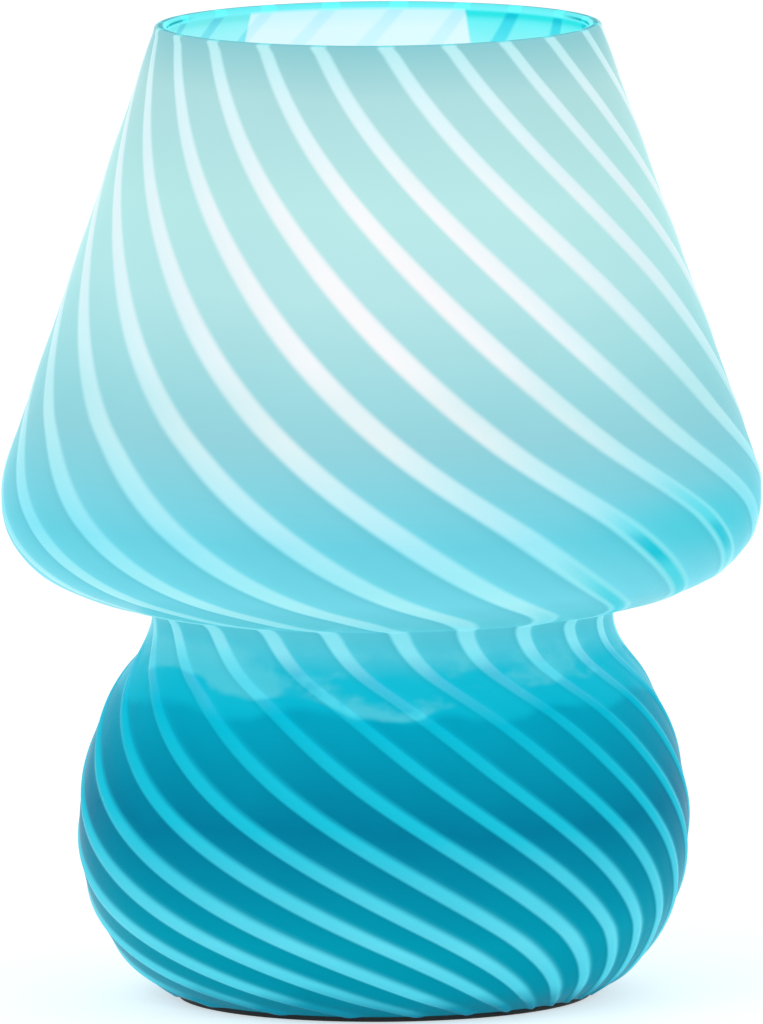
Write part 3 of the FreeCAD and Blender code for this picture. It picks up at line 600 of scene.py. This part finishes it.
# Where the glass gathered into a deeper colour, low on the right of the shade: the middle
# of each pool, its reach along the glass, and how much flatter than that it is. A stripe's
# core is deepest in a spot at the pool's upper end, which fades out at its top and its foot
FIELD_POOL = ((0.0746, -0.0485, 0.1185), (0.004, 0.054), 4.6)
STRIPE_POOL = ((0.0680, -0.0520, 0.1060), (0.016, 0.044), 1.5)
POOL_FIELD, POOL_SHARE = (0.27, 0.84, 0.91), 0.65
POOL_CORE, POOL_SPOT, POOL_EDGE = (0.32, 0.89, 0.95), (0.14, 0.82, 0.90), (0.56, 0.95, 0.99)
SPOT_TOP, SPOT_FOOT = (0.1200, 0.1165), (0.1080, 0.1135)

# The painted reflection of the shade on the base's shoulder ends in a wavering line, and holds
# pale painted patches: their grain, look and strength, the heights where they end, and how much
# higher that is at the sides than at the front
WAVER_GRAIN, WAVER_REACH, WAVER_HEIGHTS = 38.0, 6.0 * MM, (0.088, 0.080)
PATCH_GRAIN, PATCH_DETAIL, PATCH_STRETCH = 46.0, 4.0, (1.0, 1.0, 1.4)
PATCH_EDGE = (0.42, 0.54)
PATCH_LOOK, PATCH_SHARE = (0.42, 0.85, 0.90), 0.45
PATCH_FOOT, PATCH_TOP = (0.0735, 0.0750), (0.0905, 0.0870)
SIDE_RISE = 9.0 * MM

# The heights between which the painted light and shade on the ribs set in, downwards, and the
# fine variation of the glass: its light, its gloss and its surface
RIB_LIGHT_HEIGHTS = (0.150, 0.115)
CLOUD_GRAIN, CLOUD_DETAIL, CLOUD_LEVELS = 22.0, 3.0, (0.95, 1.05)
GLOSS_GRAIN, GLASS_ROUGHNESS, GLASS_SPECULAR = 60.0, (0.22, 0.34), 0.006
RELIEF_GRAIN, RELIEF_DETAIL, GLASS_RELIEF = 90.0, 1.0, 0.15 * MM


def own_light(seen, glass):
    """The light that the glass gives off, so that with its own lit colour it has the look."""
    pairs = zip(srgb(*seen)[:3], srgb(*glass)[:3])
    return (*[max(total - LIT_SHARE * part, 0.0) for total, part in pairs], 1.0)


def lit_pair(glass, share, looks):
    """The light of the field and of the stripes, by the share of the lamp's height."""
    lights = []
    for column, own in ((1, FIELD_GLASS), (2, STRIPE_GLASS)):
        stops = [(row[0] / LAMP_HEIGHT, own_light(row[column], own)) for row in looks]
        lights.append(glass.ramp(share, stops))
    return lights


def glancing_tints(glass, share):
    """The tints of the field and of the stripes, which grow towards a glancing angle."""
    facing = glass.sum("SUBTRACT", 1.0, glass.make("LayerWeight").outputs["Facing"])
    stops = [(height / LAMP_HEIGHT, level) for height, level in GLANCE_SHARES]
    strength = glass.levels(share, stops)
    tints = []
    for colour, power in GLANCE_TINTS:
        glance = glass.sum("SUBTRACT", 1.0, glass.sum("POWER", facing, power))
        tints.append(glass.mix(glass.sum("MULTIPLY", glance, strength), grey(1.0), (*colour, 1.0)))
    return tints


def pool_share(glass, place, centre, reach, flatness):
    """1 in the middle of a pool of colour and 0 beyond its reach."""
    stretched = glass.vectors("MULTIPLY", place, (1.0, 1.0, flatness))["Vector"]
    middle = (centre[0], centre[1], centre[2] * flatness)
    distance = glass.vectors("DISTANCE", stretched, middle)["Value"]
    return glass.rise(distance, reach[1], reach[0])


def patch_cover(glass, height, wavering, sideways):
    """How much the pale patches of the shoulder's painted reflection cover the glass."""
    cover = glass.rise(glass.noise(PATCH_GRAIN, PATCH_DETAIL, PATCH_STRETCH), *PATCH_EDGE)
    fall = glass.sum("MULTIPLY", glass.sum("ABSOLUTE", sideways), SIDE_RISE)
    lowered = glass.sum("SUBTRACT", wavering, fall)
    for value, heights in ((lowered, PATCH_FOOT), (height, PATCH_TOP)):
        cover = glass.sum("MULTIPLY", cover, glass.rise(value, *heights))
    return glass.sum("MULTIPLY", cover, PATCH_SHARE)


def outside_light(glass, place, height, share, stripe, patches):
    """The light of the outside: stripes, pools of colour, the painted reflection's patches and
    the painted light and shade on the ribs.
    """
    pairs = zip(lit_pair(glass, share, LOOKS), glancing_tints(glass, share))
    field, band = [glass.mix(1.0, light, tint, "MULTIPLY") for light, tint in pairs]

    # Pools of deeper colour, where the stripes are pale only at their edges
    core, spot, edge = [own_light(seen, STRIPE_GLASS) for seen in (POOL_CORE, POOL_SPOT, POOL_EDGE)]
    pool = glass.sum("MULTIPLY", pool_share(glass, place, *FIELD_POOL), POOL_SHARE)
    field = glass.mix(pool, field, own_light(POOL_FIELD, FIELD_GLASS))
    deepest = glass.sum("MULTIPLY", glass.rise(height, *SPOT_TOP), glass.rise(height, *SPOT_FOOT))
    pooled = glass.mix(glass.attribute("border"), glass.mix(deepest, core, spot), edge)
    band = glass.mix(pool_share(glass, place, *STRIPE_POOL), band, pooled)
    light = glass.mix(stripe, field, band)
    # The pale patches of the painted reflection on the base's shoulder
    light = glass.mix(patches, light, own_light(PATCH_LOOK, FIELD_GLASS))

    # Painted light on one side of the ribs and painted shade on the field on the other, where they are
    # deep
    deep = glass.rise(height, *RIB_LIGHT_HEIGHTS)
    return glass.mix(deep, light, glass.scaled(light, glass.attribute("light")))


def inside_light(glass, way, sideways, share, stripe):
    """The light of the inside: its back is washed with painted light, and its left a little."""
    towards = glass.vectors("DOT_PRODUCT", way, WASHED_WAY)["Value"]
    wash = glass.rise(towards, *WASHED_EDGE)
    left = glass.sum("MULTIPLY", glass.rise(sideways, *LEFT_EDGE), LEFT_WASH)
    plain, washed = [
        glass.mix(stripe, *lit_pair(glass, share, looks)) for looks in (INNER_LOOKS, WASHED_LOOKS)]
    return glass.mix(glass.sum("MAXIMUM", wash, left), plain, washed)


def rim_light(glass, inside, sideways):
    """The light of the ground edge, whose inner corner is a dark line at the sides."""
    light = glass.ramp(inside, [(place, own_light(seen, FIELD_GLASS)) for place, seen in RIM_LOOKS])
    sides = glass.rise(glass.sum("ABSOLUTE", sideways), *CORNER_SIDES)
    corner = glass.sum("MULTIPLY", glass.levels(inside, CORNER_COVER), sides)
    return glass.mix(corner, light, own_light(CORNER_LINE, FIELD_GLASS))


def striped_glass():
    """Turquoise glass with paler stripes, lit from inside: brightest near the bulb's height."""
    glass = Shading("striped_glass")
    place = glass.place()
    height = glass.make("SeparateXYZ", Vector=place).outputs["Z"]
    flat = glass.vectors("MULTIPLY", place, (1.0, 1.0, 0.0))["Vector"]
    way = glass.vectors("NORMALIZE", flat)["Vector"]
    sideways = glass.make("SeparateXYZ", Vector=way).outputs["X"]
    stripe, inside = glass.attribute("stripe"), glass.attribute("inside")
    # The painted reflection on the base's shoulder ends at a wavering height
    waver = glass.spread(glass.noise(WAVER_GRAIN), -WAVER_REACH, WAVER_REACH)
    waver = glass.sum("MULTIPLY", waver, glass.rise(height, *WAVER_HEIGHTS))
    wavering = glass.sum("ADD", height, waver)
    share = glass.share(wavering, 0.0, LAMP_HEIGHT)

    patches = patch_cover(glass, height, wavering, sideways)
    outer = outside_light(glass, place, height, share, stripe, patches)
    inner = inside_light(glass, way, sideways, share, stripe)
    glow = glass.mix(glass.sum("GREATER_THAN", inside, 0.5), outer, inner)
    glow = glass.mix(glass.levels(inside, RIM_COVER), glow, rim_light(glass, inside, sideways))

    clouds = glass.spread(glass.noise(CLOUD_GRAIN, CLOUD_DETAIL), *CLOUD_LEVELS)
    glass.feed("Base Color", glass.mix(stripe, srgb(*FIELD_GLASS), srgb(*STRIPE_GLASS)))
    glass.feed("Emission Color", glass.scaled(glow, clouds))
    glass.feed("Emission Strength", 1.0)
    glass.feed("Specular IOR Level", GLASS_SPECULAR)
    glass.feed("Roughness", glass.spread(glass.noise(GLOSS_GRAIN), *GLASS_ROUGHNESS))
    glass.relief(glass.noise(RELIEF_GRAIN, RELIEF_DETAIL), GLASS_RELIEF)
    return glass.block


# Each finish: colour, second colour, metal, roughness from and to, grain in cycles a metre,
# how the grain is stretched, relief in metres, and the clear coat's weight
FINISHES = {
    "black_rubber": (
        (0.10, 0.10, 0.105), (0.15, 0.15, 0.15), 0.0, (0.62, 0.80), 900, (1, 1, 1), 0.00004, 0.0),
    "zinc_steel": (
        (0.80, 0.80, 0.79), (0.68, 0.69, 0.70), 1.0, (0.24, 0.42), 500, (1, 1, 0.25), 0.00002, 0.0),
    "white_paint": (
        (0.93, 0.93, 0.92), (0.89, 0.89, 0.87), 0.0, (0.30, 0.42), 700, (1, 1, 1), 0.00003, 0.1),
    "white_plastic": (
        (0.93, 0.93, 0.92), (0.90, 0.90, 0.88), 0.0, (0.22, 0.34), 600, (1, 1, 1), 0.00002, 0.2),
    "core_plastic": (
        (0.89, 0.87, 0.83), (0.83, 0.80, 0.74), 0.0, (0.50, 0.68), 1100, (1, 1, 1), 0.00004, 0.0),
    "brass": (
        (0.88, 0.74, 0.42), (0.76, 0.60, 0.32), 1.0, (0.20, 0.38), 420, (1, 1, 0.4), 0.00002, 0.0),
    "nickel": (
        (0.86, 0.85, 0.83), (0.74, 0.73, 0.71), 1.0, (0.12, 0.26), 380, (1, 1, 0.4), 0.00001, 0.0),
    "black_plastic": (
        (0.13, 0.13, 0.14), (0.18, 0.18, 0.19), 0.0, (0.32, 0.48), 900, (1, 1, 1), 0.00003, 0.0),
    "phosphor": (
        (0.96, 0.84, 0.36), (0.90, 0.76, 0.28), 0.0, (0.70, 0.85), 1600, (1, 1, 1), 0.00003, 0.0),
    "board_green": (
        (0.16, 0.42, 0.22), (0.12, 0.34, 0.18), 0.0, (0.34, 0.50), 800, (1, 1, 1), 0.00002, 0.2),
}
FINE_DETAIL = 4.0
BROADER = 12
# Finishes that glow a little beside the lit bulb
GLOWS = {"phosphor": (0.98, 0.86, 0.50)}
GLOW_STRENGTH = 0.5

# The lit globe: its glow from the neck to the crown, its two tones, and its gloss from and to
OPAL_GLOWS = ((0.0, (0.60, 0.56, 0.48)), (0.35, (0.80, 0.78, 0.73)), (1.0, (0.93, 0.91, 0.87)))
OPAL_STRENGTH = 0.6
OPAL_TONES, OPAL_GRAIN = ((0.66, 0.66, 0.64), (0.70, 0.70, 0.68)), 60.0
OPAL_ROUGHNESS, OPAL_GLOSS_GRAIN = (0.12, 0.20), 200.0

# The clear glass: two tones, gloss from and to, how much light it lets through, and its index
CLEAR_TONES, CLEAR_GRAIN = ((0.95, 0.97, 0.97), (0.98, 0.99, 0.99)), 150.0
CLEAR_ROUGHNESS, CLEAR_GLOSS_GRAIN = (0.02, 0.06), 300.0
CLEAR_TRANSMISSION = 0.9
GLASS_INDEX = 1.5


def toned(look, grain, tones, gloss_grain, roughness):
    """Gives a finish two tones and a gloss that vary finely."""
    look.feed("Base Color", look.mix(look.noise(grain), *[srgb(*tone) for tone in tones]))
    look.feed("Roughness", look.spread(look.noise(gloss_grain), *roughness))


def plain_finish(name, first, second, metal, roughness, grain, stretch, relief, coat):
    """A finish whose colour, gloss and surface vary finely."""
    look = Shading(name)
    fine, broad = look.noise(grain, FINE_DETAIL, stretch), look.noise(grain / BROADER)
    look.feed("Base Color", look.mix(broad, srgb(*first), srgb(*second)))
    look.feed("Roughness", look.spread(fine, *roughness))
    look.feed("Metallic", metal)
    look.feed("Coat Weight", coat)
    look.relief(fine, relief)
    if name in GLOWS:
        look.feed("Emission Color", srgb(*GLOWS[name]))
        look.feed("Emission Strength", GLOW_STRENGTH)
    return look.block


def opal_glass():
    """The lit bulb's globe: milky glass, whitest away from its neck."""
    opal = Shading("opal_glass")
    height = opal.make("SeparateXYZ", Vector=opal.place()).outputs["Z"]
    neck, crown = [corner.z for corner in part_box("bulb_globe")]
    share = opal.share(height, neck, crown)
    opal.feed("Emission Color", opal.ramp(share, [(place, srgb(*glow)) for place, glow in OPAL_GLOWS]))
    opal.feed("Emission Strength", OPAL_STRENGTH)
    toned(opal, OPAL_GRAIN, OPAL_TONES, OPAL_GLOSS_GRAIN, OPAL_ROUGHNESS)
    return opal.block


def clear_glass():
    """The clear glass of the bulb's stem."""
    clear = Shading("clear_glass")
    toned(clear, CLEAR_GRAIN, CLEAR_TONES, CLEAR_GLOSS_GRAIN, CLEAR_ROUGHNESS)
    clear.feed("Transmission Weight", CLEAR_TRANSMISSION)
    clear.feed("IOR", GLASS_INDEX)
    return clear.block


def dress_nodes():
    """Gives every solid that stays the finish of its slot."""
    looks = {slot: plain_finish(slot, *row) for slot, row in FINISHES.items()}
    looks["opal_glass"], looks["clear_glass"] = opal_glass(), clear_glass()
    for row in frame["record"]["subparts"]:
        if row["node"] != "glass_body":
            for place in frame["nodes"][row["node"]].material_slots:
                place.material = looks[row["material_slot"]]


def seen_directly(shading):
    """1 for a ray from the camera, a gloss or a glass, and 0 for light on a surface."""
    path = shading.make("LightPath").outputs
    total = path["Is Camera Ray"]
    for kind in ("Is Glossy Ray", "Is Transmission Ray"):
        total = shading.sum("MAXIMUM", total, path[kind])
    return total


# The floor, seen almost white, the surround's light, and the lamps: place, width and power
FLOOR_SIZE = 12.0
FLOOR_WHITE = 0.90
FLOOR_FILL = 0.56
FLOOR_ROUGHNESS = 0.9
SKY_LIGHT = 0.55
LIGHTS = (
    ("key", (-1.3, -1.6, 1.9), 1.6, 9.0),
    ("fill", (1.9, -1.1, 1.2), 1.4, 4.0),
    ("back", (0.4, 1.9, 1.5), 1.4, 4.0),
)


def set_floor():
    """A pale floor, which looks almost white and keeps the lamp's shadow."""
    mesh = bpy.data.meshes.new("floor")
    half = FLOOR_SIZE / 2
    corners = [(-half, -half, 0), (half, -half, 0), (half, half, 0), (-half, half, 0)]
    mesh.from_pydata(corners, [], [(0, 1, 2, 3)])
    floor = linked("floor", mesh)
    ground = Shading("floor")
    ground.feed("Base Color", srgb(FLOOR_WHITE, FLOOR_WHITE, FLOOR_WHITE))
    ground.feed("Roughness", FLOOR_ROUGHNESS)
    ground.feed("Specular IOR Level", 0.0)
    ground.feed("Emission Color", grey(1.0))
    ground.feed("Emission Strength", ground.spread(seen_directly(ground), 0.0, FLOOR_FILL))
    mesh.materials.append(ground.block)


def set_surround():
    """A plain surround, seen white and giving less light than that."""
    surround = Shading("surround", "worlds", "Background")
    bpy.context.scene.world = surround.block
    surround.feed("Color", grey(1.0))
    surround.feed("Strength", surround.spread(seen_directly(surround), SKY_LIGHT, 1.0))


def set_lights():
    """Three large soft lamps."""
    for name, place, size, power in LIGHTS:
        lamp = bpy.data.lights.new(name, "AREA")
        lamp.shape, lamp.size, lamp.energy = "DISK", size, power
        lit = linked(name, lamp)
        lit.location = place
        aim = Vector(CAMERA_TARGET) - Vector(place)
        lit.rotation_euler = aim.to_track_quat("-Z", "Y").to_euler()


def set_camera():
    """The camera at the photograph's place, a long way off."""
    elevation, roll = math.radians(CAMERA_ELEVATION), math.radians(CAMERA_ROLL)
    ahead = Vector((0, math.cos(elevation), -math.sin(elevation)))
    level_up = Vector((0, math.sin(elevation), math.cos(elevation)))
    right = Vector((1, 0, 0)) * math.cos(roll) - level_up * math.sin(roll)
    turn = Matrix((right, right.cross(ahead), -ahead)).transposed()
    lens = bpy.data.cameras.new("camera")
    lens.sensor_width = SENSOR
    lens.lens = SENSOR * PIXELS_PER_METRE * CAMERA_DISTANCE / PICTURE_HEIGHT
    lens.clip_start, lens.clip_end = CAMERA_CLIP
    camera = linked("camera", lens)
    stand = Vector(CAMERA_TARGET) - ahead * CAMERA_DISTANCE
    camera.matrix_world = Matrix.Translation(stand) @ turn.to_4x4()
    bpy.context.scene.camera = camera


set_camera()
set_floor()
set_surround()
set_lights()
vessel = glass_vessel()
drill_inlet(vessel)
vessel.data.shade_smooth()
vessel.data.set_sharp_from_angle(angle=math.radians(SHARP_ANGLE))
vessel.data.materials.clear()
vessel.data.materials.append(striped_glass())
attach(vessel, "lamp")
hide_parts("glass_body")
dress_nodes()

bpy.context.scene.view_settings.view_transform = "Standard"
